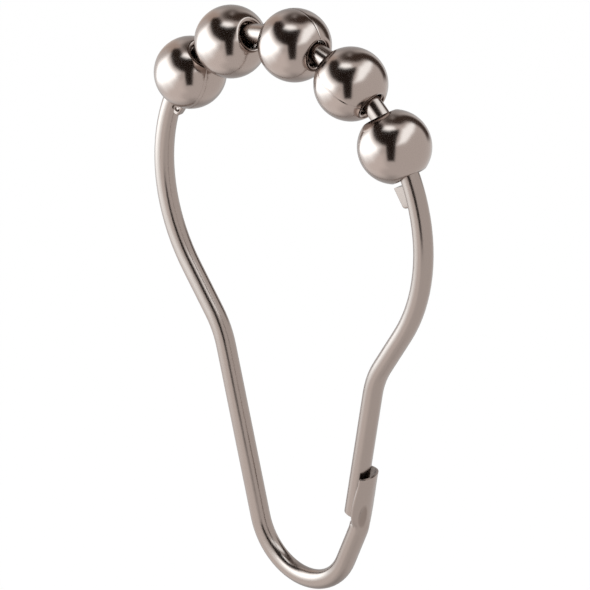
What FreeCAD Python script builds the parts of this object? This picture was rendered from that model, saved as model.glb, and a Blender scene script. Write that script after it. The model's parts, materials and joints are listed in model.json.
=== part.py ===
import FreeCAD, Part
import math
import os
import Sketcher

# Roller hook for a shower curtain: one bent spring-steel wire with five hollow rolled balls on its top arc.
# Frame: X across the hook with the latch at +X, Y along the curtain rod, Z up.
# The origin is the rod seat, the highest point of the circle that touches the undersides of the balls.

# Driving sizes, in millimetres and degrees
SIZES = {
    # Wire outline, all on the wire's centre line; slopes are from the vertical
    "wire_diameter": 2.6,
    "arc_radius": 23.0,
    "shoulder_slope": 35.0,
    "shoulder_length": 6.6,
    "neck_radius": 12.0,
    "leg_slope": 12.0,
    "free_leg_slope": 13.0,
    "free_leg_length": 18.6,
    "stub_slope": 26.0,
    "stub_length": 5.5,
    "knee_radius": 5.0,
    # Free end of the wire
    "end_chamfer": 0.25,
    # Latch scoop: the pressed end of the wire that catches the free end
    "latch_offset": 1.2,
    "latch_drop": 1.0,
    "scoop_height": 7.0,
    "scoop_belly_height": 4.2,
    "scoop_floor": 0.3,
    "scoop_clearance": 0.45,
    "scoop_wall": 0.55,
    "scoop_flare": 0.45,
    "scoop_turn": 24.0,
    "scoop_mouth_angle": 70.0,
    "scoop_belly_angle": 75.0,
    "scoop_arch": 5.4,
    # Oval mark that the press leaves on the scoop's outer face
    "press_turn": -19.0,
    "press_height": 0.95,
    "press_length": 2.9,
    "press_nose": 1.1,
    "press_depth": 0.22,
    # Hollow balls
    "ball_diameter": 9.5,
    "ball_wall": 0.5,
    "ball_hole": 3.4,
    "ball_lip_round": 0.45,
    "ball_lip_inset": 0.14,
    "ball_drop": 0.5,
    # Where the balls stand on the wire: the middle of the row, and the play between neighbours
    "row_turn": 2.8,
    "play_1_2": 0.25,
    "play_2_3": 2.1,
    "play_3_4": 0.6,
    "play_4_5": 0.4,
    # Stop ears crimped under the end balls
    "left_ear_play": 0.45,
    "right_ear_play": 0.8,
    "left_ear_length": 2.2,
    "right_ear_length": 2.9,
    "left_ear_reach": 1.05,
    "right_ear_reach": 1.75,
    "ear_heel_share": 0.65,
    "ear_heel_round": 0.5,
    "ear_thickness": 1.2,
    "ear_round": 0.3,
    # Round dents that the crimping tool leaves on both faces of the left ear
    "crimp_radius": 0.55,
    "crimp_depth": 0.3,
    "crimp_inset": 0.15,
}
BALL_COUNT = 5

doc = FreeCAD.newDocument("roller_hook")
sheet = doc.addObject("Spreadsheet::Sheet", "sizes")
for row, (name, value) in enumerate(SIZES.items(), start=1):
    sheet.set(f"A{row}", name)
    sheet.set(f"B{row}", str(value))
    sheet.setAlias(f"B{row}", name)
doc.recompute()


def size(name):
    """A driving size read back from the sheet."""
    return float(sheet.get(name))


def point(x, z):
    """A sketch point, which on the hook's own plane is x across and z up."""
    return FreeCAD.Vector(x, z, 0)


def origin_plane(body, role):
    """One of the body's own origin planes."""
    return next(item for item in body.Origin.OriginFeatures if item.Role == role)


def new_sketch(body, name, role):
    """A sketch lying on one of the body's origin planes."""
    sketch = body.newObject("Sketcher::SketchObject", name)
    sketch.AttachmentSupport = (origin_plane(body, role), [""])
    sketch.MapMode = "FlatFace"
    return sketch


def bind(sketch, constraint, name, expression):
    """Adds a driving dimension and ties it to the sheet."""
    index = sketch.addConstraint(constraint)
    sketch.renameConstraint(index, name)
    sketch.setExpression(f"Constraints.{name}", expression)


def arc(centre, radius, start, end):
    """An arc that runs anticlockwise between two angles in degrees."""
    circle = Part.Circle(centre, FreeCAD.Vector(0, 0, 1), radius)
    return Part.ArcOfCircle(circle, math.radians(start), math.radians(end))


def direction(angle):
    """A unit vector at an angle in degrees from the sketch's first axis."""
    return point(math.cos(math.radians(angle)), math.sin(math.radians(angle)))


# Sketch end marks: start, end and centre of a curve, and the sketch's own origin and axes
START, END, CENTRE = 1, 2, 3
ORIGIN, UPRIGHT = -1, -2

# Wire outline
# The same steps as the sketch's dimensions give each corner a first place for the solver.
shoulder, leg = size("shoulder_slope"), size("leg_slope")
free_leg, stub = size("free_leg_slope"), size("stub_slope")
arc_radius, neck_radius, knee_radius = size("arc_radius"), size("neck_radius"), size("knee_radius")
seat_radius = arc_radius - size("ball_drop") - size("ball_diameter") / 2
arc_centre = point(0, -seat_radius)
arc_end = arc_centre + direction(-shoulder) * arc_radius
shoulder_end = arc_end - direction(90 - shoulder) * size("shoulder_length")
neck_centre = shoulder_end + direction(-shoulder) * neck_radius
neck_end = neck_centre - direction(-free_leg) * neck_radius
free_end = neck_end - direction(90 - free_leg) * size("free_leg_length")
below_free_end = free_end - direction(90 - free_leg) * size("latch_drop")
latch_root = below_free_end + direction(-free_leg) * size("latch_offset")
knee_centre = latch_root - direction(-free_leg) * knee_radius
knee_end = knee_centre + direction(-stub) * knee_radius
stub_end = knee_end - direction(90 - stub) * size("stub_length")


def across(place):
    """The mirrored place on the hook's other side."""
    return point(-place.x, place.y)


left_neck_end = across(neck_centre) + direction(leg) * neck_radius
foot_radius = (stub_end - left_neck_end).dot(direction(leg)) / (1 + math.cos(math.radians(stub + leg)))
foot_centre = stub_end - direction(-stub) * foot_radius
foot_start = foot_centre - direction(leg) * foot_radius

hook_wire = doc.addObject("PartDesign::Body", "hook_wire")
hook_wire.Label = "hook_wire"
wire_path = new_sketch(hook_wire, "wire_path", "XZ_Plane")
curves = {
    "right_arc": arc(arc_centre, arc_radius, -shoulder, 90),
    "right_shoulder": Part.LineSegment(shoulder_end, arc_end),
    "right_neck": arc(neck_centre, neck_radius, 180 - shoulder, 180 - free_leg),
    "free_leg": Part.LineSegment(free_end, neck_end),
    "left_arc": arc(arc_centre, arc_radius, 90, 180 + shoulder),
    "left_shoulder": Part.LineSegment(across(shoulder_end), across(arc_end)),
    "left_neck": arc(across(neck_centre), neck_radius, leg, shoulder),
    "left_leg": Part.LineSegment(foot_start, left_neck_end),
    "foot": arc(foot_centre, foot_radius, 180 + leg, 360 - stub),
    "stub": Part.LineSegment(stub_end, knee_end),
    "knee": arc(knee_centre, knee_radius, -stub, -free_leg),
}
place = {name: wire_path.addGeometry(curve, False) for name, curve in curves.items()}
place["drop"] = wire_path.addGeometry(Part.LineSegment(free_end, below_free_end), True)
place["offset"] = wire_path.addGeometry(Part.LineSegment(below_free_end, latch_root), True)

smooth_joins = [
    ("right_arc", START, "right_shoulder", END),
    ("right_shoulder", START, "right_neck", START),
    ("right_neck", END, "free_leg", END),
    ("left_arc", END, "left_shoulder", END),
    ("left_shoulder", START, "left_neck", END),
    ("left_neck", START, "left_leg", END),
    ("left_leg", START, "foot", START),
    ("foot", END, "stub", START),
    ("stub", END, "knee", START),
]
plain_joins = [
    ("right_arc", END, "left_arc", START),
    ("right_arc", CENTRE, "left_arc", CENTRE),
    ("drop", START, "free_leg", START),
    ("offset", START, "drop", END),
    ("offset", END, "knee", END),
]
for kind, joins in (("Tangent", smooth_joins), ("Coincident", plain_joins)):
    for first, first_end, second, second_end in joins:
        wire_path.addConstraint(Sketcher.Constraint(kind, place[first], first_end, place[second], second_end))
wire_path.addConstraint([
    Sketcher.Constraint("PointOnObject", place["right_arc"], CENTRE, UPRIGHT),
    Sketcher.Constraint("PointOnObject", place["right_arc"], END, UPRIGHT),
    Sketcher.Constraint("Equal", place["right_shoulder"], place["left_shoulder"]),
    Sketcher.Constraint("Equal", place["right_neck"], place["left_neck"]),
    Sketcher.Constraint("Parallel", place["drop"], place["free_leg"]),
    Sketcher.Constraint("Perpendicular", place["offset"], place["drop"]),
    Sketcher.Constraint("PointOnObject", place["knee"], CENTRE, place["offset"]),
])
bind(wire_path, Sketcher.Constraint("DistanceY", place["right_arc"], CENTRE, ORIGIN, START, seat_radius),
     "seat_radius", "sizes.arc_radius - sizes.ball_drop - sizes.ball_diameter / 2")
for curve, name in (("right_arc", "arc_radius"), ("right_neck", "neck_radius"), ("knee", "knee_radius")):
    bind(wire_path, Sketcher.Constraint("Radius", place[curve], size(name)), name, f"sizes.{name}")
for curve, name in (("right_shoulder", "shoulder_length"), ("free_leg", "free_leg_length"),
                    ("stub", "stub_length"), ("drop", "latch_drop"), ("offset", "latch_offset")):
    bind(wire_path, Sketcher.Constraint("Distance", place[curve], size(name)), name, f"sizes.{name}")
for curve, sign, name in (("right_shoulder", -1, "shoulder_slope"), ("left_shoulder", 1, "shoulder_slope"),
                          ("free_leg", -1, "free_leg_slope"), ("left_leg", 1, "leg_slope"),
                          ("stub", -1, "stub_slope")):
    bind(wire_path, Sketcher.Constraint("Angle", place[curve], math.radians(90 + sign * size(name))),
         f"{curve}_slope", f"90 deg + {sign} * sizes.{name} * 1 deg")


def note(sketch, constraint, name):
    """Adds a reference dimension, which reads a place off the sketch for what is built on it."""
    index = sketch.addConstraint(constraint)
    sketch.renameConstraint(index, name)
    sketch.setDriving(index, False)


for kind, name, reach in (("DistanceX", "free_end_x", free_end.x), ("DistanceY", "free_end_z", free_end.y)):
    note(wire_path, Sketcher.Constraint(kind, ORIGIN, START, place["free_leg"], START, reach), name)
doc.recompute()


def closed_outline(sketch, corners):
    """Straight sides from corner to corner and back to the first."""
    following = corners[1:] + corners[:1]
    sides = sketch.addGeometry([Part.LineSegment(a, b) for a, b in zip(corners, following)], False)
    for side, next_side in zip(sides, sides[1:] + sides[:1]):
        sketch.addConstraint(Sketcher.Constraint("Coincident", side, END, next_side, START))
    return sides


def turned_outline(sketch, bow):
    """Half of a tool's outline: a bow whose ends lie on the sketch's upright axis, closed along that axis."""
    outer, spine = sketch.addGeometry([bow, Part.LineSegment(bow.EndPoint, bow.StartPoint)], False)
    sketch.addConstraint([
        Sketcher.Constraint("PointOnObject", outer, START, UPRIGHT),
        Sketcher.Constraint("PointOnObject", outer, END, UPRIGHT),
        Sketcher.Constraint("Coincident", outer, END, spine, START),
        Sketcher.Constraint("Coincident", spine, END, outer, START),
    ])


def whole_turn_cut(name, sketch):
    """Cuts away what the sketch sweeps in a whole turn about its upright axis."""
    cut = hook_wire.newObject("PartDesign::Groove", name)
    cut.Profile = sketch
    cut.ReferenceAxis = (sketch, ["V_Axis"])
    cut.Angle = 360
    doc.recompute()


# Latch scoop
# The wire's other end is flattened and cupped round the free leg. Its sections lie square to that leg:
# each is a crescent with two rounded horns, filled towards the leg. A cup for the free end is then cut out,
# and the mouth is trimmed to an arch. Both cuts reach past the scoop by the same share of its size.
CUP_RADIUS = "(sizes.wire_diameter / 2 + sizes.scoop_clearance)"
cup_radius = size("wire_diameter") / 2 + size("scoop_clearance")
CUT_REACH = 1.5


def turned(axis, degrees):
    """A placement about the origin, turned about an axis."""
    return FreeCAD.Placement(FreeCAD.Vector(), FreeCAD.Rotation(FreeCAD.Vector(*axis), degrees))


# Two frames stand at the free end: one along the free leg, one turned about it to face the scoop's middle.
leg_frame = hook_wire.newObject("PartDesign::CoordinateSystem", "leg_frame")
leg_frame.AttachmentSupport = (origin_plane(hook_wire, "XY_Plane"), [""])
leg_frame.MapMode = "FlatFace"
leg_frame.AttachmentOffset = turned((0, 1, 0), size("free_leg_slope"))
leg_frame.setExpression("AttachmentOffset.Rotation.Angle", "sizes.free_leg_slope * 1 deg")
leg_frame.setExpression("AttachmentOffset.Base.x", "wire_path.Constraints.free_end_x")
leg_frame.setExpression("AttachmentOffset.Base.z", "wire_path.Constraints.free_end_z")
scoop_frame = hook_wire.newObject("PartDesign::CoordinateSystem", "scoop_frame")
scoop_frame.AttachmentSupport = (leg_frame, [""])
scoop_frame.MapMode = "ObjectXY"
scoop_frame.AttachmentOffset = turned((0, 0, 1), size("scoop_turn"))
scoop_frame.setExpression("AttachmentOffset.Rotation.Angle", "sizes.scoop_turn * 1 deg")
doc.recompute()


def framed_sketch(frame, name, mode):
    """A sketch on one of a frame's planes."""
    sketch = hook_wire.newObject("Sketcher::SketchObject", name)
    sketch.AttachmentSupport = (frame, [""])
    sketch.MapMode = mode
    return sketch


def section_sketch(frame, name, height):
    """A sketch square to the free leg; the height above the free end is an expression."""
    sketch = framed_sketch(frame, name, "ObjectXY")
    sketch.setExpression("AttachmentOffset.Base.z", f"{height} * 1 mm")
    return sketch


def crescent(name, height, half_angle):
    """A scoop section: outer arc, two rounded horns, and a chord that closes its inner side."""
    sketch = section_sketch(scoop_frame, name, height)
    inner, outer = cup_radius, cup_radius + size("scoop_wall")
    middle, horn = (inner + outer) / 2, (outer - inner) / 2
    turn = size(half_angle)
    axis = point(0, 0)
    outer_arc, left_horn, chord, right_horn, spoke = sketch.addGeometry([
        arc(axis, outer, -turn, turn),
        arc(direction(turn) * middle, horn, turn, turn + 180),
        Part.LineSegment(direction(turn) * inner, direction(-turn) * inner),
        arc(direction(-turn) * middle, horn, 180 - turn, 360 - turn),
        Part.LineSegment(axis, direction(turn) * outer),
    ], False)
    sketch.setConstruction(spoke, True)
    sketch.addConstraint([
        Sketcher.Constraint("Coincident", outer_arc, CENTRE, ORIGIN, START),
        Sketcher.Constraint("Coincident", spoke, START, ORIGIN, START),
        Sketcher.Constraint("Coincident", spoke, END, outer_arc, END),
        Sketcher.Constraint("Vertical", outer_arc, START, outer_arc, END),
        Sketcher.Constraint("Tangent", outer_arc, END, left_horn, START),
        Sketcher.Constraint("Coincident", left_horn, END, chord, START),
        Sketcher.Constraint("Coincident", chord, END, right_horn, START),
        Sketcher.Constraint("Tangent", right_horn, END, outer_arc, START),
        Sketcher.Constraint("Equal", left_horn, right_horn),
        Sketcher.Constraint("PointOnObject", left_horn, END, spoke),
        Sketcher.Constraint("Vertical", chord),
    ])
    bind(sketch, Sketcher.Constraint("Radius", outer_arc, outer), "outer_radius",
         f"{CUP_RADIUS} + sizes.scoop_wall")
    bind(sketch, Sketcher.Constraint("Radius", left_horn, horn), "horn_radius", "sizes.scoop_wall / 2")
    bind(sketch, Sketcher.Constraint("Angle", spoke, math.radians(turn)), "half_angle",
         f"sizes.{half_angle} * 1 deg")
    return sketch


def wire_circle(sketch, centre, name, expression):
    """The wire's round section, at a bound distance along the sketch's first or second axis."""
    round_wire = Part.Circle(centre, FreeCAD.Vector(0, 0, 1), size("wire_diameter") / 2)
    circle = sketch.addGeometry(round_wire, False)
    kind, axis, distance = ("DistanceX", -1, centre.x) if centre.x else ("DistanceY", UPRIGHT, centre.y)
    sketch.addConstraint(Sketcher.Constraint("PointOnObject", circle, CENTRE, axis))
    bind(sketch, Sketcher.Constraint(kind, ORIGIN, START, circle, CENTRE, distance), name, expression)
    bind(sketch, Sketcher.Constraint("Diameter", circle, size("wire_diameter")), "wire_diameter",
         "sizes.wire_diameter")


scoop_root = section_sketch(leg_frame, "scoop_root", "-sizes.latch_drop")
wire_circle(scoop_root, point(size("latch_offset"), 0), "latch_offset", "sizes.latch_offset")
scoop_sections = [
    crescent("scoop_floor_section", "sizes.scoop_floor", "scoop_belly_angle"),
    crescent("scoop_belly_section", "sizes.scoop_belly_height", "scoop_belly_angle"),
    crescent("scoop_mouth_section", "sizes.scoop_height", "scoop_mouth_angle"),
]
doc.recompute()
scoop_blank = hook_wire.newObject("PartDesign::AdditiveLoft", "scoop_blank")
scoop_blank.Profile = scoop_root
scoop_blank.Sections = scoop_sections
doc.recompute()

# The cup is turned about the free leg's axis, so the snapped-in end has the same clearance all round.
# It widens upwards, which thins the scoop's wall towards its mouth.
cup_outline = framed_sketch(leg_frame, "cup_outline", "ObjectXZ")
cup_top, cup_floor = size("scoop_height") * CUT_REACH, -size("scoop_floor")
rim_radius = cup_radius + size("scoop_flare")
corners = [point(0, cup_floor), point(cup_radius, cup_floor), point(rim_radius, cup_top), point(0, cup_top)]
sides = closed_outline(cup_outline, corners)
cup_outline.addConstraint([
    Sketcher.Constraint("Horizontal", sides[0]),
    Sketcher.Constraint("Horizontal", sides[2]),
    Sketcher.Constraint("PointOnObject", sides[0], START, UPRIGHT),
    Sketcher.Constraint("PointOnObject", sides[3], START, UPRIGHT),
])
bind(cup_outline, Sketcher.Constraint("DistanceY", sides[0], START, ORIGIN, START, -cup_floor),
     "scoop_floor", "sizes.scoop_floor")
bind(cup_outline, Sketcher.Constraint("DistanceX", sides[0], START, sides[0], END, cup_radius),
     "cup_radius", CUP_RADIUS)
bind(cup_outline, Sketcher.Constraint("DistanceX", sides[3], START, sides[1], END, rim_radius),
     "rim_radius", f"{CUP_RADIUS} + sizes.scoop_flare")
bind(cup_outline, Sketcher.Constraint("DistanceY", sides[1], START, sides[1], END, cup_top - cup_floor),
     "cup_length", f"{CUT_REACH} * sizes.scoop_height + sizes.scoop_floor")
whole_turn_cut("scoop_cup", cup_outline)

# Everything above an arch is cut away, so the mouth is highest at its middle and falls to the horns.
mouth_outline = framed_sketch(scoop_frame, "mouth_outline", "ObjectYZ")
arch_radius, half_width = size("scoop_arch"), cup_radius * CUT_REACH
arch_centre = point(0, size("scoop_height") - arch_radius)
arch_turn = math.degrees(math.asin(half_width / arch_radius))
arch_foot = (arch_centre + direction(90 - arch_turn) * arch_radius).y
arch_arc, far_side, lid, near_side = mouth_outline.addGeometry([
    arc(arch_centre, arch_radius, 90 - arch_turn, 90 + arch_turn),
    Part.LineSegment(point(-half_width, arch_foot), point(-half_width, cup_top)),
    Part.LineSegment(point(-half_width, cup_top), point(half_width, cup_top)),
    Part.LineSegment(point(half_width, cup_top), point(half_width, arch_foot)),
], False)
mouth_outline.addConstraint([
    Sketcher.Constraint("PointOnObject", arch_arc, CENTRE, UPRIGHT),
    Sketcher.Constraint("Coincident", arch_arc, END, far_side, START),
    Sketcher.Constraint("Coincident", far_side, END, lid, START),
    Sketcher.Constraint("Coincident", lid, END, near_side, START),
    Sketcher.Constraint("Coincident", near_side, END, arch_arc, START),
    Sketcher.Constraint("Symmetric", lid, START, lid, END, UPRIGHT),
    Sketcher.Constraint("Vertical", far_side),
    Sketcher.Constraint("Vertical", near_side),
])
bind(mouth_outline, Sketcher.Constraint("Radius", arch_arc, arch_radius), "arch_radius", "sizes.scoop_arch")
bind(mouth_outline, Sketcher.Constraint("DistanceY", ORIGIN, START, arch_arc, CENTRE, arch_centre.y),
     "arch_centre", "sizes.scoop_height - sizes.scoop_arch")
bind(mouth_outline, Sketcher.Constraint("DistanceX", lid, START, lid, END, 2 * half_width),
     "trim_width", f"2 * {CUT_REACH} * {CUP_RADIUS}")
bind(mouth_outline, Sketcher.Constraint("DistanceY", ORIGIN, START, lid, START, cup_top),
     "trim_top", f"{CUT_REACH} * sizes.scoop_height")
scoop_mouth = hook_wire.newObject("PartDesign::Pocket", "scoop_mouth")
scoop_mouth.Profile = mouth_outline
scoop_mouth.Midplane = True
scoop_mouth.setExpression("Length", f"{CUT_REACH} * 4 * {CUP_RADIUS}")
doc.recompute()

# Two pipes swept from the top of the arc, one down each side
wire_section = new_sketch(hook_wire, "wire_section", "YZ_Plane")
wire_circle(wire_section, point(0, size("ball_drop") + size("ball_diameter") / 2), "arc_top",
            "sizes.ball_drop + sizes.ball_diameter / 2")
halves = {
    "left_wire": ["left_arc", "left_shoulder", "left_neck", "left_leg", "foot", "stub", "knee"],
    "right_wire": ["right_arc", "right_shoulder", "right_neck", "free_leg"],
}
for name, run in halves.items():
    pipe = hook_wire.newObject("PartDesign::AdditivePipe", name)
    pipe.Profile = wire_section
    pipe.Spine = (wire_path, [f"Edge{place[curve] + 1}" for curve in run])
    doc.recompute()


def upright(place_in_sketch):
    """A place of the hook's own plane as a place of the part."""
    return FreeCAD.Vector(place_in_sketch.x, 0, place_in_sketch.y)


# Free end, cut square with its rim broken
end_rim = next(f"Edge{number}" for number, edge in enumerate(hook_wire.Shape.Edges, start=1)
               if edge.CenterOfMass.isEqual(upright(free_end), 1e-3))
whole_wire = hook_wire.Tip
end_chamfer = hook_wire.newObject("PartDesign::Chamfer", "end_chamfer")
end_chamfer.Base = (whole_wire, [end_rim])
end_chamfer.setExpression("Size", "sizes.end_chamfer")
doc.recompute()

# The press leaves a shallow oval mark low on the scoop, cut by a barrel-shaped nose that stands upright.
NOSE_REACH = f"({CUP_RADIUS} + sizes.scoop_wall - sizes.press_depth + sizes.press_nose) * 1 mm"
BARREL_RADIUS = "(sizes.press_length ^ 2 / 4 + sizes.press_depth ^ 2) / (2 * sizes.press_depth)"
nose_radius, mark_depth = size("press_nose"), size("press_depth")
barrel_radius = (size("press_length") ** 2 / 4 + mark_depth ** 2) / (2 * mark_depth)
press_outline = framed_sketch(leg_frame, "press_outline", "ObjectXZ")
press_outline.setExpression("AttachmentOffset.Base.x", f"{NOSE_REACH} * cos(sizes.press_turn * 1 deg)")
press_outline.setExpression("AttachmentOffset.Base.y", "sizes.press_height * 1 mm")
press_outline.setExpression("AttachmentOffset.Base.z", f"-{NOSE_REACH} * sin(sizes.press_turn * 1 deg)")
barrel_turn = math.degrees(math.acos((barrel_radius - nose_radius) / barrel_radius))
barrel = arc(point(nose_radius - barrel_radius, 0), barrel_radius, -barrel_turn, barrel_turn)
turned_outline(press_outline, barrel)
press_outline.addConstraint(Sketcher.Constraint("PointOnObject", 0, CENTRE, -1))
bind(press_outline, Sketcher.Constraint("Radius", 0, barrel_radius), "barrel_radius", BARREL_RADIUS)
bind(press_outline, Sketcher.Constraint("DistanceX", 0, CENTRE, ORIGIN, START, barrel_radius - nose_radius),
     "barrel_offset", f"{BARREL_RADIUS} - sizes.press_nose")
whole_turn_cut("press_mark", press_outline)

# Balls
# Each is a thin shell turned about its bore, with a rounded, turned-in lip at both holes.
BALL_CENTRE_RADIUS = "(sizes.arc_radius - sizes.ball_drop)"
PITCHES = [f"2 * asin((sizes.ball_diameter + sizes.play_{n}_{n + 1}) / (2 * {BALL_CENTRE_RADIUS}))"
           for n in range(1, BALL_COUNT)]


def ball_outline(body):
    """Half of the shell's section, above the bore axis."""
    radius, wall, hole = size("ball_diameter") / 2, size("ball_wall"), size("ball_hole") / 2
    lip_round = size("ball_lip_round")
    round_x = math.sqrt((radius - lip_round) ** 2 - (hole + lip_round) ** 2)
    round_turn = math.degrees(math.atan2(hole + lip_round, round_x))
    back_x = math.sqrt((radius - wall) ** 2 - (hole + wall) ** 2)
    back_turn = math.degrees(math.atan2(hole + wall, back_x))
    lip_x = back_x - size("ball_lip_inset")
    axis = point(0, 0)
    sketch = new_sketch(body, f"{body.Name}_outline", "XZ_Plane")
    outline = sketch.addGeometry([
        arc(axis, radius, round_turn, 180 - round_turn),
        arc(point(round_x, hole + lip_round), lip_round, -90, round_turn),
        Part.LineSegment(point(round_x, hole), point(lip_x, hole)),
        Part.LineSegment(point(lip_x, hole), point(lip_x, hole + wall)),
        Part.LineSegment(point(lip_x, hole + wall), point(back_x, hole + wall)),
        arc(axis, radius - wall, back_turn, 180 - back_turn),
        Part.LineSegment(point(-back_x, hole + wall), point(-lip_x, hole + wall)),
        Part.LineSegment(point(-lip_x, hole + wall), point(-lip_x, hole)),
        Part.LineSegment(point(-lip_x, hole), point(-round_x, hole)),
        arc(point(-round_x, hole + lip_round), lip_round, 180 - round_turn, 270),
    ], False)
    skin, right_round, right_bore, right_end, right_back = outline[:5]
    inside, left_back, left_end, left_bore, left_round = outline[5:]
    sketch.addConstraint([
        Sketcher.Constraint("Coincident", skin, CENTRE, ORIGIN, START),
        Sketcher.Constraint("Coincident", inside, CENTRE, ORIGIN, START),
        Sketcher.Constraint("Tangent", right_round, END, skin, START),
        Sketcher.Constraint("Tangent", right_bore, START, right_round, START),
        Sketcher.Constraint("Coincident", right_bore, END, right_end, START),
        Sketcher.Constraint("Coincident", right_end, END, right_back, START),
        Sketcher.Constraint("Coincident", right_back, END, inside, START),
        Sketcher.Constraint("Coincident", inside, END, left_back, START),
        Sketcher.Constraint("Coincident", left_back, END, left_end, START),
        Sketcher.Constraint("Coincident", left_end, END, left_bore, START),
        Sketcher.Constraint("Tangent", left_bore, END, left_round, END),
        Sketcher.Constraint("Tangent", left_round, START, skin, END),
        Sketcher.Constraint("Symmetric", right_end, START, left_end, END, UPRIGHT),
        Sketcher.Constraint("Equal", right_round, left_round),
        Sketcher.Constraint("Equal", right_end, left_end),
    ] + [Sketcher.Constraint("Horizontal", line) for line in (right_bore, right_back, left_back, left_bore)]
      + [Sketcher.Constraint("Vertical", line) for line in (right_end, left_end)])
    bind(sketch, Sketcher.Constraint("Radius", skin, radius), "radius", "sizes.ball_diameter / 2")
    bind(sketch, Sketcher.Constraint("Radius", inside, radius - wall), "inside_radius",
         "sizes.ball_diameter / 2 - sizes.ball_wall")
    bind(sketch, Sketcher.Constraint("Radius", right_round, lip_round), "lip_round", "sizes.ball_lip_round")
    bind(sketch, Sketcher.Constraint("Distance", right_end, wall), "wall", "sizes.ball_wall")
    bind(sketch, Sketcher.Constraint("DistanceY", ORIGIN, START, right_end, START, hole), "hole_radius",
         "sizes.ball_hole / 2")
    bind(sketch, Sketcher.Constraint("DistanceX", right_end, END, right_back, END, back_x - lip_x),
         "lip_inset", "sizes.ball_lip_inset")
    return sketch


balls = []
for number in range(1, BALL_COUNT + 1):
    ball = doc.addObject("PartDesign::Body", f"ball_{number}")
    ball.Label = f"ball_{number}"
    shell = ball.newObject("PartDesign::Revolution", f"{ball.Name}_shell")
    shell.Profile = ball_outline(ball)
    shell.ReferenceAxis = (shell.Profile[0], ["H_Axis"])
    shell.Angle = 360
    ball.addProperty("App::PropertyAngle", "TurnFromTop", "Layout", "Where the ball stands on the arc")
    if balls:
        ball.setExpression("TurnFromTop", f"{balls[-1].Name}.TurnFromTop + {PITCHES[number - 2]}")
    else:
        ball.setExpression("TurnFromTop", f"sizes.row_turn * 1 deg - ({' + '.join(PITCHES)}) / 2")
    ball.Placement = FreeCAD.Placement(FreeCAD.Vector(), FreeCAD.Rotation(FreeCAD.Vector(0, 1, 0), number))
    ball.setExpression("Placement.Rotation.Angle", "TurnFromTop")
    ball.setExpression("Placement.Base.x", f"{BALL_CENTRE_RADIUS} * 1 mm * sin(TurnFromTop)")
    ball.setExpression("Placement.Base.z",
                       f"{BALL_CENTRE_RADIUS} * 1 mm * cos(TurnFromTop) - wire_path.Constraints.seat_radius")
    balls.append(ball)
doc.recompute()

# Stop ears
# Each is pinched out of the wire's inner side just past an end ball, with a square top and a tapered heel.
BALL_END = "sqrt((sizes.ball_diameter / 2) ^ 2 - (sizes.ball_hole / 2) ^ 2)"


def stop_ear(side, sign, ball):
    """The ear on one side: sign is -1 where the sketch is mirrored."""
    radius, reach, length = size("wire_diameter") / 2, size(f"{side}_ear_reach"), size(f"{side}_ear_length")
    heel = size("ear_heel_share") * reach
    past_ball = f"({BALL_END} + sizes.{side}_ear_play) / sizes.arc_radius * 1 rad"
    turn = f"-({ball.Name}.TurnFromTop + {sign} * {past_ball})"
    outline = new_sketch(hook_wire, f"{side}_ear_outline", "XZ_Plane")
    outline.AttachmentOffset = turned((0, 0, 1), -ball.TurnFromTop.Value)
    outline.setExpression("AttachmentOffset.Rotation.Angle", turn)
    outline.setExpression("AttachmentOffset.Base.y", "-wire_path.Constraints.seat_radius")
    corners = [
        point(0, arc_radius),
        point(0, arc_radius - radius - reach),
        point(sign * length, arc_radius - radius - heel),
        point(sign * length, arc_radius),
    ]
    sides = closed_outline(outline, corners)
    outline.addConstraint([
        Sketcher.Constraint("Vertical", sides[0]),
        Sketcher.Constraint("Vertical", sides[2]),
        Sketcher.Constraint("Horizontal", sides[3]),
        Sketcher.Constraint("PointOnObject", sides[0], START, UPRIGHT),
    ])
    bind(outline, Sketcher.Constraint("DistanceY", ORIGIN, START, sides[0], START, arc_radius), "arc_radius",
         "sizes.arc_radius")
    bind(outline, Sketcher.Constraint("Distance", sides[0], radius + reach), "reach",
         f"sizes.wire_diameter / 2 + sizes.{side}_ear_reach")
    bind(outline, Sketcher.Constraint("Distance", sides[2], radius + heel), "heel",
         f"sizes.wire_diameter / 2 + sizes.ear_heel_share * sizes.{side}_ear_reach")
    bind(outline, Sketcher.Constraint("Distance", sides[3], length), "length", f"sizes.{side}_ear_length")
    ear = hook_wire.newObject("PartDesign::Pad", f"{side}_ear")
    ear.Profile = outline
    ear.Midplane = True
    ear.setExpression("Length", "sizes.ear_thickness")
    doc.recompute()


stop_ear("left", -1, balls[0])
stop_ear("right", 1, balls[-1])


def round_ears(name, radius, chosen):
    """Rounds those edges of both ears that pass a test. Only the ears have edges this far inside the arc."""
    sharp = hook_wire.Tip
    skin = arc_radius - size("wire_diameter") / 2 - size("ear_heel_share") * size("left_ear_reach") / 5
    edges = [f"Edge{number}" for number, edge in enumerate(hook_wire.Shape.Edges, start=1)
             if chosen(edge) and all(corner.Point.distanceToPoint(upright(arc_centre)) < skin
                                     for corner in edge.Vertexes)]
    fillet = hook_wire.newObject("PartDesign::Fillet", name)
    fillet.Base = (sharp, edges)
    fillet.setExpression("Radius", radius)
    doc.recompute()


def across_the_heel(edge):
    """An ear's edge that runs along Y on the side away from its ball."""
    start, end = edge.Vertexes[0].Point, edge.Vertexes[-1].Point
    along_y = abs(end.y - start.y) > 0.999 * start.distanceToPoint(end) > 0
    side, ball = ("left", balls[0]) if start.x < 0 else ("right", balls[-1])
    away = start.distanceToPoint(ball.Placement.Base)
    return along_y and away > size("ball_diameter") / 2 + size(f"{side}_ear_length") / 2


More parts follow.
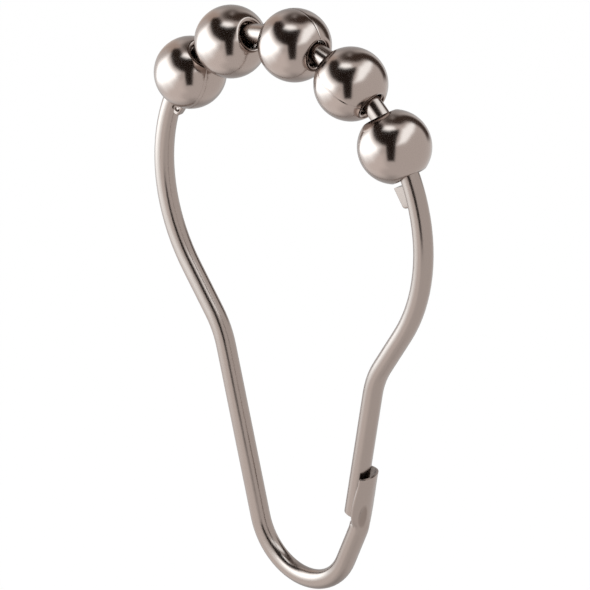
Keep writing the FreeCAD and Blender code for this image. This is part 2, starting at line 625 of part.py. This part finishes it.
# The rounds stay below these shares of the shorter heel and of the ears' thickness.
HEEL = "sizes.ear_heel_share * sizes.left_ear_reach"
HEEL_SHARE, FACE_SHARE = 0.7, 0.4
round_ears("heel_round", f"min(sizes.ear_heel_round; {HEEL_SHARE} * {HEEL})", across_the_heel)
round_ears("ear_round", f"min(sizes.ear_round; {FACE_SHARE} * sizes.ear_thickness; {HEEL_SHARE} * {HEEL})",
           lambda edge: True)

# The crimping tool leaves a round dent at the root of the left ear, half-way along it, on both its faces.
CRIMP_TURN = (f"({balls[0].Name}.TurnFromTop - ({BALL_END} + sizes.left_ear_play + sizes.left_ear_length / 2)"
              " / sizes.arc_radius * 1 rad)")
CRIMP_PLACE = "(sizes.arc_radius - sizes.wire_diameter / 2 - sizes.crimp_inset) * 1 mm"
CRIMP_DEPTH = "(sizes.ear_thickness / 2 + sizes.crimp_radius - sizes.crimp_depth) * 1 mm"
crimp_radius = size("crimp_radius")
for name, side in (("front_crimp", 1), ("rear_crimp", -1)):
    outline = new_sketch(hook_wire, f"{name}_outline", "XZ_Plane")
    outline.setExpression("AttachmentOffset.Base.x", f"{CRIMP_PLACE} * sin({CRIMP_TURN})")
    outline.setExpression("AttachmentOffset.Base.y",
                          f"{CRIMP_PLACE} * cos({CRIMP_TURN}) - wire_path.Constraints.seat_radius")
    outline.setExpression("AttachmentOffset.Base.z", f"{side} * {CRIMP_DEPTH}")
    turned_outline(outline, arc(point(0, 0), crimp_radius, -90, 90))
    outline.addConstraint(Sketcher.Constraint("Coincident", 0, CENTRE, ORIGIN, START))
    bind(outline, Sketcher.Constraint("Radius", 0, crimp_radius), "crimp_radius", "sizes.crimp_radius")
    whole_turn_cut(name, outline)

# Nothing is written unless every object worked out and every piece is a sound solid.
for item in doc.Objects:
    if "Invalid" in item.State or "Error" in item.State:
        raise RuntimeError(f"{item.Name} failed: {item.State}")
nodes = [hook_wire] + balls
for node in nodes:
    if node.Shape.isNull() or not node.Shape.isValid() or len(node.Shape.Solids) != 1:
        raise RuntimeError(f"{node.Label} is not one sound solid")
os.makedirs("parts", exist_ok=True)
for node in nodes:
    node.Shape.exportStep(f"parts/{node.Label}.step")
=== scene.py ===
import bmesh
import bpy
import json
import math
from mathutils import Matrix, Vector


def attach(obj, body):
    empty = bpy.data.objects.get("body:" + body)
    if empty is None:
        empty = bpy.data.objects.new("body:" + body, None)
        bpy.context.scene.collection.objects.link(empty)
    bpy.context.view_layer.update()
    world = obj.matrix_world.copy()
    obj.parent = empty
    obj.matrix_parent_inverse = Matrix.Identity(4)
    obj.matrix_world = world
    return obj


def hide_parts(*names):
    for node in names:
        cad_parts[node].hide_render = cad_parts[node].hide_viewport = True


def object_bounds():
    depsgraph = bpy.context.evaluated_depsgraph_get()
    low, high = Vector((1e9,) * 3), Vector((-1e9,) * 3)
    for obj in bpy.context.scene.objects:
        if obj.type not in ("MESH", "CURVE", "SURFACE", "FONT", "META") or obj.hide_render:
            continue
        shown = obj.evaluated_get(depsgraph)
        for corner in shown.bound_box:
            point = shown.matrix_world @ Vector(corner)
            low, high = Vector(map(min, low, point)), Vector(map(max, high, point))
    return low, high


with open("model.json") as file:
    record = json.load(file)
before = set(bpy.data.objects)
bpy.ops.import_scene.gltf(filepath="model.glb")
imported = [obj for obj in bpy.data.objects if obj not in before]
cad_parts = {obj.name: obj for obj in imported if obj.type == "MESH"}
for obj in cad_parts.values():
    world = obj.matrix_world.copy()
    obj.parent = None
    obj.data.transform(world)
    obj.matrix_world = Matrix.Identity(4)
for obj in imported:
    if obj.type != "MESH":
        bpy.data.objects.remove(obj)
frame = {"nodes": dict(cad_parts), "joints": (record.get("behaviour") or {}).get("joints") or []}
packed_bounds = [list(corner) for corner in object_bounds()]


# Wire
# One length of round spring-steel wire, bent cold into a light-bulb outline and tumbled to a
# satin sheen. Two stop ears are pinched out of it under the end balls, and its lower end is
# flattened and cupped into the latch.

WIRE_METAL, WIRE_ROUGHNESS, WIRE_CREASE = (0.328, 0.269, 0.24, 1.0), 0.2, math.radians(28)
DRAW_LINES_PER_METRE, DRAW_LINE_STRETCH, DRAW_LINE_DEPTH = 9000.0, 60.0, 0.000004
CLOUDS_PER_METRE, CLOUD_DEPTH, CLOUD_ROUGHNESS = 300.0, 0.000015, 0.08
MERGE_DISTANCE = 1e-7

# The latch stands round the free leg, which slopes. The tumbling barrel doesn't reach into its
# cup, so the cup stays rougher than the rest, and its colour is darkened with painted shade
FREE_END = Vector((0.009008, 0.0, -0.058655))
LEG_LINE = Vector((math.sin(math.radians(13)), 0.0, math.cos(math.radians(13))))
CUP_PAINTED_SHADE, CUP_ROUGHNESS = (0.15, 0.118, 0.102, 1.0), 0.15
CUP_REACH, CUP_HEIGHT, CUP_FACING = 0.0024, 0.0072, 0.5

# A darker oval is painted into the colour low on the latch's outer face. It fades between two
# shares of its size, and between two depths, so that it doesn't show on the inward side as well
MARK_METAL = (0.25, 0.198, 0.173, 1.0)
MARK_MIDDLE = Vector((0.01134, -0.00075, -0.05822))
MARK_LENGTH, MARK_WIDTH = 0.00155, 0.0006
MARK_OUTWARD = Matrix.Rotation(math.radians(-19), 3, LEG_LINE) @ Vector(
    (LEG_LINE.z, 0.0, -LEG_LINE.x))
MARK_ACROSS = LEG_LINE.cross(MARK_OUTWARD)
MARK_RIM, MARK_DEPTHS = (0.6, 1.6), (-0.0006, -0.0003)


class Value:
    """A shader socket that takes part in Python arithmetic: each operator adds its Math node."""

    def __init__(self, graph, socket):
        self.graph, self.socket = graph, socket

    def __add__(self, other):
        return self.graph.math("ADD", self, other)

    def __radd__(self, other):
        return self.graph.math("ADD", other, self)

    def __sub__(self, other):
        return self.graph.math("SUBTRACT", self, other)

    def __rsub__(self, other):
        return self.graph.math("SUBTRACT", other, self)

    def __mul__(self, other):
        return self.graph.math("MULTIPLY", self, other)

    def __rmul__(self, other):
        return self.graph.math("MULTIPLY", other, self)

    def fade(self, start, end):
        """A smooth change from 0 at start to 1 at end."""
        stops = {"Value": self, "From Min": start, "From Max": end, "To Min": 0.0, "To Max": 1.0}
        return self.graph.add("ShaderNodeMapRange", {"interpolation_type": "SMOOTHSTEP"}, stops)


class Graph:
    """The node tree of one material or of the world."""

    def __init__(self, owner):
        owner.use_nodes = True
        self.tree = owner.node_tree
        self.tree.nodes.clear()

    def add(self, kind, settings, sockets, output=0):
        """A node: its settings are set first, then each socket gets a value or a link."""
        node = self.tree.nodes.new(kind)
        for key, setting in settings.items():
            setattr(node, key, setting)
        for key, given in sockets.items():
            if isinstance(given, Value):
                self.tree.links.new(given.socket, node.inputs[key])
            else:
                node.inputs[key].default_value = given
        return Value(self, node.outputs[output]) if node.outputs else None

    def math(self, operation, first, second):
        return self.add("ShaderNodeMath", {"operation": operation}, {0: first, 1: second})

    def attribute(self, name, output="Vector"):
        return self.add("ShaderNodeAttribute", {"attribute_name": name}, {}, output)

    def stretched(self, vector, scale):
        """A place with each of its axes scaled, for a grain that runs one way."""
        return self.add("ShaderNodeVectorMath", {"operation": "MULTIPLY"}, {0: vector, 1: scale})

    def along(self, vector, middle, line):
        """How far a place lies from a middle point along a line, times the line's length."""
        away = self.add("ShaderNodeVectorMath", {"operation": "SUBTRACT"}, {0: vector, 1: middle})
        return self.add(
            "ShaderNodeVectorMath", {"operation": "DOT_PRODUCT"}, {0: away, 1: line}, "Value")

    def noise(self, vector, scale, detail):
        return self.add(
            "ShaderNodeTexNoise", {}, {"Vector": vector, "Scale": scale, "Detail": detail})

    def blend(self, share, first, second):
        """A colour between two others, which are the Mix node's sockets 6 and 7."""
        sockets = {"Factor": share, 6: first, 7: second}
        return self.add("ShaderNodeMix", {"data_type": "RGBA"}, sockets, 2)

    def relief(self, height, depth, **under):
        """Bumps of a depth in metres, on top of other bumps where a Normal is given."""
        sockets = {"Strength": 1.0, "Distance": depth, "Height": height}
        return self.add("ShaderNodeBump", {}, sockets | under)

    def bare_metal(self, colour, roughness, normal):
        """Closes a material as bare metal."""
        shader = self.add("ShaderNodeBsdfPrincipled", {}, {
            "Base Color": colour, "Metallic": 1.0, "Roughness": roughness, "Normal": normal})
        self.add("ShaderNodeOutputMaterial", {}, {"Surface": shader})


def finished_mesh(name, shape):
    """A mesh from a shape that is done."""
    mesh = bpy.data.meshes.new(name)
    shape.to_mesh(mesh)
    shape.free()
    return mesh


def placed(name, data):
    """A new object in the scene."""
    thing = bpy.data.objects.new(name, data)
    bpy.context.scene.collection.objects.link(thing)
    return thing


def show(name, body, mesh, material, stands_for):
    """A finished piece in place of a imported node, riding on that node's body."""
    piece = placed(name, mesh)
    mesh.materials.append(material)
    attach(piece, body)
    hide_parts(stands_for)


def in_cup(face):
    """Whether a face lines the latch's cup: it looks at the free leg from close by."""
    away = face.calc_center_median() - FREE_END
    height = away.dot(LEG_LINE)
    outward = away - LEG_LINE * height
    beside_leg = 0 < height < CUP_HEIGHT and outward.length < CUP_REACH
    return beside_leg and face.normal.dot(outward.normalized()) < -CUP_FACING


def satin_metal():
    """Satin wire: fine draw lines run up it, and its gloss is slightly uneven."""
    material = bpy.data.materials.new("satin_wire")
    graph = Graph(material)
    place = graph.attribute("drawn_place")
    fine = DRAW_LINES_PER_METRE
    grain = graph.stretched(place, (fine, fine, fine / DRAW_LINE_STRETCH))
    lines = graph.noise(grain, scale=1.0, detail=2.0)
    clouds = graph.noise(place, CLOUDS_PER_METRE, detail=2.0)
    lengthwise = graph.along(place, MARK_MIDDLE, LEG_LINE / MARK_LENGTH)
    crosswise = graph.along(place, MARK_MIDDLE, MARK_ACROSS / MARK_WIDTH)
    mark = 1.0 - (lengthwise * lengthwise + crosswise * crosswise).fade(*MARK_RIM)
    outer_side = graph.along(place, MARK_MIDDLE, MARK_OUTWARD).fade(*MARK_DEPTHS)
    marked = graph.blend(mark * outer_side, WIRE_METAL, MARK_METAL)
    # Painted shade: the faces lining the cup get a darker colour, as well as more roughness
    cupped = graph.attribute("cupped", "Fac")
    graph.bare_metal(
        graph.blend(cupped, marked, CUP_PAINTED_SHADE),
        WIRE_ROUGHNESS + CLOUD_ROUGHNESS * (clouds - 0.5) + CUP_ROUGHNESS * cupped,
        graph.relief(lines, DRAW_LINE_DEPTH, Normal=graph.relief(clouds, CLOUD_DEPTH)))
    return material


wire = bmesh.new()
wire.from_mesh(frame["nodes"]["hook_wire"].data)
bmesh.ops.remove_doubles(wire, verts=wire.verts, dist=MERGE_DISTANCE)
place_layer = wire.verts.layers.float_vector.new("drawn_place")
# Flags the faces lining the cup, which get painted shade in their colour and more roughness
cup_layer = wire.loops.layers.float.new("cupped")
for vertex in wire.verts:
    vertex[place_layer] = vertex.co
for face in wire.faces:
    face.smooth = True
    for corner in face.loops:
        corner[cup_layer] = in_cup(face)
for edge in wire.edges:
    edge.smooth = edge.is_manifold and edge.calc_face_angle() < WIRE_CREASE
show("bent_wire", "hook", finished_mesh("hook_wire_mesh", wire), satin_metal(),
     "hook_wire")


# Balls
# Five hollow balls, each rolled from one piece of thin sheet metal round the wire, with a hole
# at both ends, a turned-in lip round each hole and a butt seam from hole to hole. They are
# polished and run loose on the wire.

BALL_METAL, BALL_ROUGHNESS, BALL_CREASE = (0.366, 0.298, 0.266, 1.0), 0.16, math.radians(40)
HAZE_PER_METRE, HAZE_ROUGHNESS = 700.0, 0.06
ROLLING_PER_METRE, ROLLING_DEPTH = 350.0, 0.00001
BALL_WALL, BALL_HOLE, LIP_ROUND, LIP_INSET = 0.0005, 0.0034, 0.00045, 0.00014
SEAM_HALF_ANGLE, SEAM_DEPTH = 0.65, 0.00004
SEAM_TURNS = {"ball_1": 152.0, "ball_2": -100.0, "ball_3": -6.0, "ball_4": 80.0, "ball_5": -120.0}
SKIN_STEPS, LIP_STEPS, ROUND_STEPS, SEAM_STEPS = 48, 8, 128, 2
ORIGIN, X_AXIS, Y_AXIS = (0, 0, 0), (1, 0, 0), (0, 1, 0)


def spun(shape, parts, centre, axis, degrees, steps):
    """Sweeps corners or edges round an axis and returns what lies at the far end."""
    made = bmesh.ops.spin(shape, geom=parts, cent=centre, axis=axis, dvec=(0, 0, 0),
                          angle=math.radians(degrees), steps=steps, use_duplicate=False)
    return [part for part in made["geom_last"] if isinstance(part, type(parts[0]))]


def drawn(shape, corner, x, z):
    """Draws a straight side of an outline from its end corner and returns the new end."""
    made = bmesh.ops.extrude_vert_indiv(shape, verts=corner)["verts"]
    made[0].co = (x, 0, z)
    return made


def ball_shell(radius):
    """One ball about the origin with its bore along X and its seam on the side towards Z."""
    shell = bmesh.new()
    hole, rear = BALL_HOLE / 2, BALL_HOLE / 2 + BALL_WALL
    round_z = hole + LIP_ROUND
    round_x = math.sqrt((radius - LIP_ROUND) ** 2 - round_z ** 2)
    round_turn = math.degrees(math.atan2(round_x, round_z))
    rear_x = math.sqrt((radius - BALL_WALL) ** 2 - rear ** 2)
    rear_turn = math.degrees(math.atan2(rear_x, rear))
    # Half the outline: the outer skin, the round of the lip, the lip's inside and the inner skin
    corner = bmesh.ops.create_vert(shell, co=(0, 0, radius))["vert"]
    corner = spun(shell, corner, ORIGIN, Y_AXIS, round_turn, SKIN_STEPS)
    corner = spun(shell, corner, (round_x, 0, round_z), Y_AXIS, 180 - round_turn, LIP_STEPS)
    corner = drawn(shell, corner, rear_x - LIP_INSET, hole)
    corner = drawn(shell, corner, rear_x - LIP_INSET, rear)
    corner = drawn(shell, corner, rear_x, rear)
    spun(shell, corner, ORIGIN, Y_AXIS, -rear_turn, SKIN_STEPS // 2)
    # The outline goes round from one side of the seam to the other, and then across the seam
    seam_side = Matrix.Rotation(math.radians(SEAM_HALF_ANGLE), 3, "X")
    bmesh.ops.rotate(shell, verts=shell.verts, matrix=seam_side)
    seam_width = 2 * SEAM_HALF_ANGLE
    profile = spun(shell, shell.edges[:], ORIGIN, X_AXIS, 360 - seam_width, ROUND_STEPS)
    spun(shell, profile, ORIGIN, X_AXIS, seam_width, SEAM_STEPS)
    bmesh.ops.mirror(shell, geom=shell.verts[:] + shell.edges[:] + shell.faces[:], axis="X",
                     merge_dist=MERGE_DISTANCE)
    bmesh.ops.remove_doubles(shell, verts=shell.verts, dist=MERGE_DISTANCE)
    bmesh.ops.recalc_face_normals(shell, faces=shell.faces)
    # The seam's middle line sinks into the outer skin, from lip to lip
    for vertex in shell.verts:
        on_seam = abs(vertex.co.y) < MERGE_DISTANCE and vertex.co.z > round_z
        if on_seam and vertex.co.length > radius - BALL_WALL / 2:
            vertex.co *= 1 - SEAM_DEPTH / radius
    return shell


def polished_metal():
    """Polished sheet metal, with the faint unevenness that rolling leaves."""
    material = bpy.data.materials.new("polished_ball")
    graph = Graph(material)
    place = graph.attribute("ball_place")
    haze = graph.noise(place, HAZE_PER_METRE, detail=3.0)
    rolling = graph.noise(place, ROLLING_PER_METRE, detail=1.0)
    graph.bare_metal(BALL_METAL, BALL_ROUGHNESS + HAZE_ROUGHNESS * (haze - 0.5),
                     graph.relief(rolling, ROLLING_DEPTH))
    return material


ball_metal = polished_metal()
for joint in frame["joints"]:
    ball_name = joint["name"].removesuffix("_roll")
    centre, bore = Vector(joint["pos_m"]), Vector(joint["axis"])
    packed_ball = frame["nodes"][ball_name].data
    shell = ball_shell(max((vertex.co - centre).length for vertex in packed_ball.vertices))
    place_layer = shell.verts.layers.float_vector.new("ball_place")
    for vertex in shell.verts:
        vertex[place_layer] = vertex.co
    for face in shell.faces:
        face.smooth = True
    for edge in shell.edges:
        edge.smooth = edge.calc_face_angle() < BALL_CREASE
    seam_turn = Matrix.Rotation(math.radians(SEAM_TURNS[ball_name]), 4, "X")
    along_bore = bore.to_track_quat("X", "Z").to_matrix().to_4x4()
    shell.transform(Matrix.Translation(centre) @ along_bore @ seam_turn)
    show(f"{ball_name}_shell", joint["child"], finished_mesh(f"{ball_name}_mesh", shell),
         ball_metal, ball_name)


# Camera
# A long lens a little above the hook, looking across its plane from the right. It is rolled
# slightly clockwise, so that upright things lean a little to the left.

SENSOR, FOCAL_PIXELS, IMAGE_WIDTH = 36.0, 6184.0, 590
CAMERA_AIM, CAMERA_DISTANCE, CLIP_START = Vector((-0.00006, 0.0, -0.0302)), 0.8, 0.01
AZIMUTH, ELEVATION, ROLL = math.radians(44.56), math.radians(22.59), math.radians(-2.46)

back = Vector((math.sin(AZIMUTH) * math.cos(ELEVATION), -math.cos(AZIMUTH) * math.cos(ELEVATION),
               math.sin(ELEVATION)))
level_right = Vector((math.cos(AZIMUTH), math.sin(AZIMUTH), 0))
level_up = back.cross(level_right)
right = level_right * math.cos(ROLL) + level_up * math.sin(ROLL)
up = level_up * math.cos(ROLL) - level_right * math.sin(ROLL)

lens = bpy.data.cameras.new("camera")
lens.sensor_width, lens.lens = SENSOR, SENSOR * FOCAL_PIXELS / IMAGE_WIDTH
lens.clip_start = CLIP_START
camera = placed("camera", lens)
camera_turn = Matrix((right, up, back)).transposed().to_4x4()
camera.matrix_world = Matrix.Translation(CAMERA_AIM + back * CAMERA_DISTANCE) @ camera_turn
bpy.context.scene.camera = camera


# Studio
# A white room with a pale floor well below the hanging hook. A light tent round it is seen only
# in the metal, where its softboxes and dark flags give the bright patches and the dark bands.

WHITE = (1.0, 1.0, 1.0, 1.0)
FLOOR_DROP, FLOOR_SIZE, FLOOR_PAINT, FLOOR_GLOW = 0.45, 6.0, (0.97, 0.97, 0.97, 1.0), 0.85
KEY_AZIMUTH, KEY_ELEVATION, KEY_DISTANCE, KEY_SIZE, KEY_POWER = -60, 35, 1.2, 0.5, 3.0
TENT_CENTRE, TENT_RADIUS, TENT_STEP = Vector((0.002, 0.0, 0.0)), 0.18, 2.0
# Softboxes are a little cool, and the grey and black cloths are a little brown
DAYLIGHT, WHITE_CLOTH = Vector((0.91, 1.03, 1.09)), Vector((1.0, 1.0, 1.0))
GREY_CLOTH, FLAG_CLOTH = Vector((1.12, 1.0, 0.92)), Vector((1.4, 1.0, 0.8))
# Each panel: its colour, its brightness, the width of its soft rim, and its outline, all in
# degrees round and above the camera's sight line
PANELS = {
    "back_left": (WHITE_CLOTH, 0.6, 24.0, [(-200, -80), (-156, -80), (-156, 80), (-200, 80)]),
    "back_right": (WHITE_CLOTH, 0.6, 24.0, [(156, -80), (200, -80), (200, 80), (156, 80)]),
    "roof": (GREY_CLOTH, 0.15, 24.0, [(-180, 66), (180, 66), (180, 100), (-180, 100)]),
    "left_fill": (WHITE_CLOTH, 1.3, 20.0, [(-150, -20), (-30, -26), (-38, -66), (-140, -66)]),
    "left_band": (GREY_CLOTH, 0.75, 10.0, [
        (-172, 10), (-150, 44), (-125, 60), (-100, 64), (-98, 42), (-130, 36), (-152, 10)]),
    "left_flag": (FLAG_CLOTH, 0.03, 9.0, [
        (-112, 50), (-95, 62), (-66, 62), (-40, 52), (-14, 44), (-18, -2), (-36, 2), (-58, 15),
        (-78, 31), (-98, 41)]),
    "left_softbox": (DAYLIGHT, 2.5, 24.0, [
        (-138, -8), (-126, 14), (-100, 34), (-82, 24), (-62, 8), (-40, -4), (-50, -20),
        (-82, -34), (-116, -28)]),
    "left_lamp": (DAYLIGHT, 4.2, 20.0, [
        (-130, -6), (-122, 10), (-100, 28), (-84, 20), (-64, 4), (-52, -6), (-58, -14),
        (-84, -20), (-114, -16)]),
    "stem_flag": (FLAG_CLOTH, 0.02, 6.0, [
        (-22, -46), (5, -46), (6, 0), (11, 22), (20, 38), (24, 47), (-38, 48), (-40, 12),
        (-22, 0)]),
    "right_window": (DAYLIGHT, 2.6, 12.0, [
        (11, 1), (18, 14), (24, 30), (36, 46), (70, 54), (100, 51), (112, 44), (84, 38),
        (56, 26), (34, 8)]),
    "top_flag": (FLAG_CLOTH, 0.06, 12.0, [
        (20, 67), (40, 63), (70, 62), (88, 60), (100, 51), (112, 30), (118, 8), (142, 6),
        (146, 60), (130, 86), (-60, 86), (-56, 74), (-16, 76)]),
    "overhead_softbox": (DAYLIGHT, 3.0, 13.0, [
        (-44, 48), (-18, 45), (6, 49), (4, 57), (-18, 61), (-42, 59)]),
}


def towards(azimuth, elevation):
    """A direction from the hook, in degrees round and above the camera's sight line."""
    turn, rise = math.radians(azimuth), math.radians(elevation)
    level = right * math.sin(turn) + back * math.cos(turn)
    return level * math.cos(rise) + up * math.sin(rise)


def studio_object(name, mesh, material):
    """A thing that stands round the hook and isn't part of it."""
    thing = placed(name, mesh)
    mesh.materials.append(material)
    return thing


def depth_inside(azimuth, elevation, outline):
    """How many degrees a place lies inside an outline; it is negative outside."""
    shrink = math.cos(math.radians(elevation))
    nearest, inside = math.inf, False
    for (a, low), (b, high) in zip(outline, outline[1:] + outline[:1]):
        start = Vector(((a - azimuth) * shrink, low - elevation))
        side = Vector(((b - azimuth) * shrink, high - elevation)) - start
        share = min(max(-start.dot(side) / side.length_squared, 0.0), 1.0)
        nearest = min(nearest, (start + side * share).length)
        if (low > elevation) != (high > elevation):
            inside ^= azimuth < a + (b - a) * (elevation - low) / (high - low)
    return nearest if inside else -nearest


def tent_tone(spot):
    """The tent's colour towards a place, panel over panel on a plain white cloth."""
    across, over, ahead = spot.dot(right), spot.dot(up), spot.dot(back)
    azimuth, elevation = math.degrees(math.atan2(across, ahead)), math.degrees(math.asin(over))
    tone = WHITE_CLOTH
    for colour, brightness, rim, outline in PANELS.values():
        share = min(max(0.5 + depth_inside(azimuth, elevation, outline) / rim, 0.0), 1.0)
        tone = tone.lerp(colour * brightness, share * share * (3 - 2 * share))
    return tone


sphere = bmesh.new()
bmesh.ops.create_uvsphere(
    sphere, u_segments=int(360 / TENT_STEP), v_segments=int(180 / TENT_STEP), radius=1.0)
tone_layer = sphere.verts.layers.float_vector.new("tone")
for vertex in sphere.verts:
    vertex[tone_layer] = tent_tone(vertex.co.normalized())
    vertex.co = TENT_CENTRE + vertex.co * TENT_RADIUS
for face in sphere.faces:
    face.smooth = True
tent_cloth = bpy.data.materials.new("tent_cloth")
graph = Graph(tent_cloth)
cloth = graph.add(
    "ShaderNodeEmission", {}, {"Color": graph.attribute("tone", "Color"), "Strength": 1.0})
graph.add("ShaderNodeOutputMaterial", {}, {"Surface": cloth})
tent = studio_object("tent", finished_mesh("tent", sphere), tent_cloth)
tent.visible_camera = tent.visible_diffuse = tent.visible_shadow = False
tent.visible_transmission = False

room = bpy.data.worlds.new("white_room")
bpy.context.scene.world = room
graph = Graph(room)
walls = graph.add("ShaderNodeBackground", {}, {"Color": WHITE, "Strength": 1.0})
graph.add("ShaderNodeOutputWorld", {}, {"Surface": walls})

# Rays from the camera, from metal and through glass see the floor nearly white
ground = bmesh.new()
floor_place = Matrix.Translation((0, 0, packed_bounds[0][2] - FLOOR_DROP))
bmesh.ops.create_grid(
    ground, x_segments=1, y_segments=1, size=FLOOR_SIZE / 2, matrix=floor_place)
pale_floor = bpy.data.materials.new("pale_floor")
graph = Graph(pale_floor)
camera_ray, glossy_ray, passing_ray = (
    graph.add("ShaderNodeLightPath", {}, {}, f"Is {kind} Ray")
    for kind in ("Camera", "Glossy", "Transmission"))
seen = graph.math("MINIMUM", camera_ray + glossy_ray + passing_ray, 1.0)
paint = graph.add("ShaderNodeBsdfDiffuse", {}, {"Color": FLOOR_PAINT})
glow = graph.add("ShaderNodeEmission", {}, {"Color": WHITE, "Strength": 1.0})
surface = graph.add("ShaderNodeMixShader", {}, {0: FLOOR_GLOW * seen, 1: paint, 2: glow})
graph.add("ShaderNodeOutputMaterial", {}, {"Surface": surface})
studio_object("floor", finished_mesh("floor", ground), pale_floor)

key = bpy.data.lights.new("key", "AREA")
key.shape, key.size, key.energy = "DISK", KEY_SIZE, KEY_POWER
key_offset = towards(KEY_AZIMUTH, KEY_ELEVATION) * KEY_DISTANCE
key_turn = key_offset.to_track_quat("Z", "Y").to_matrix().to_4x4()
key_lamp = placed("key", key)
key_lamp.matrix_world = Matrix.Translation(CAMERA_AIM + key_offset) @ key_turn
key_lamp.visible_glossy = False

bpy.context.scene.view_settings.view_transform = "Standard"
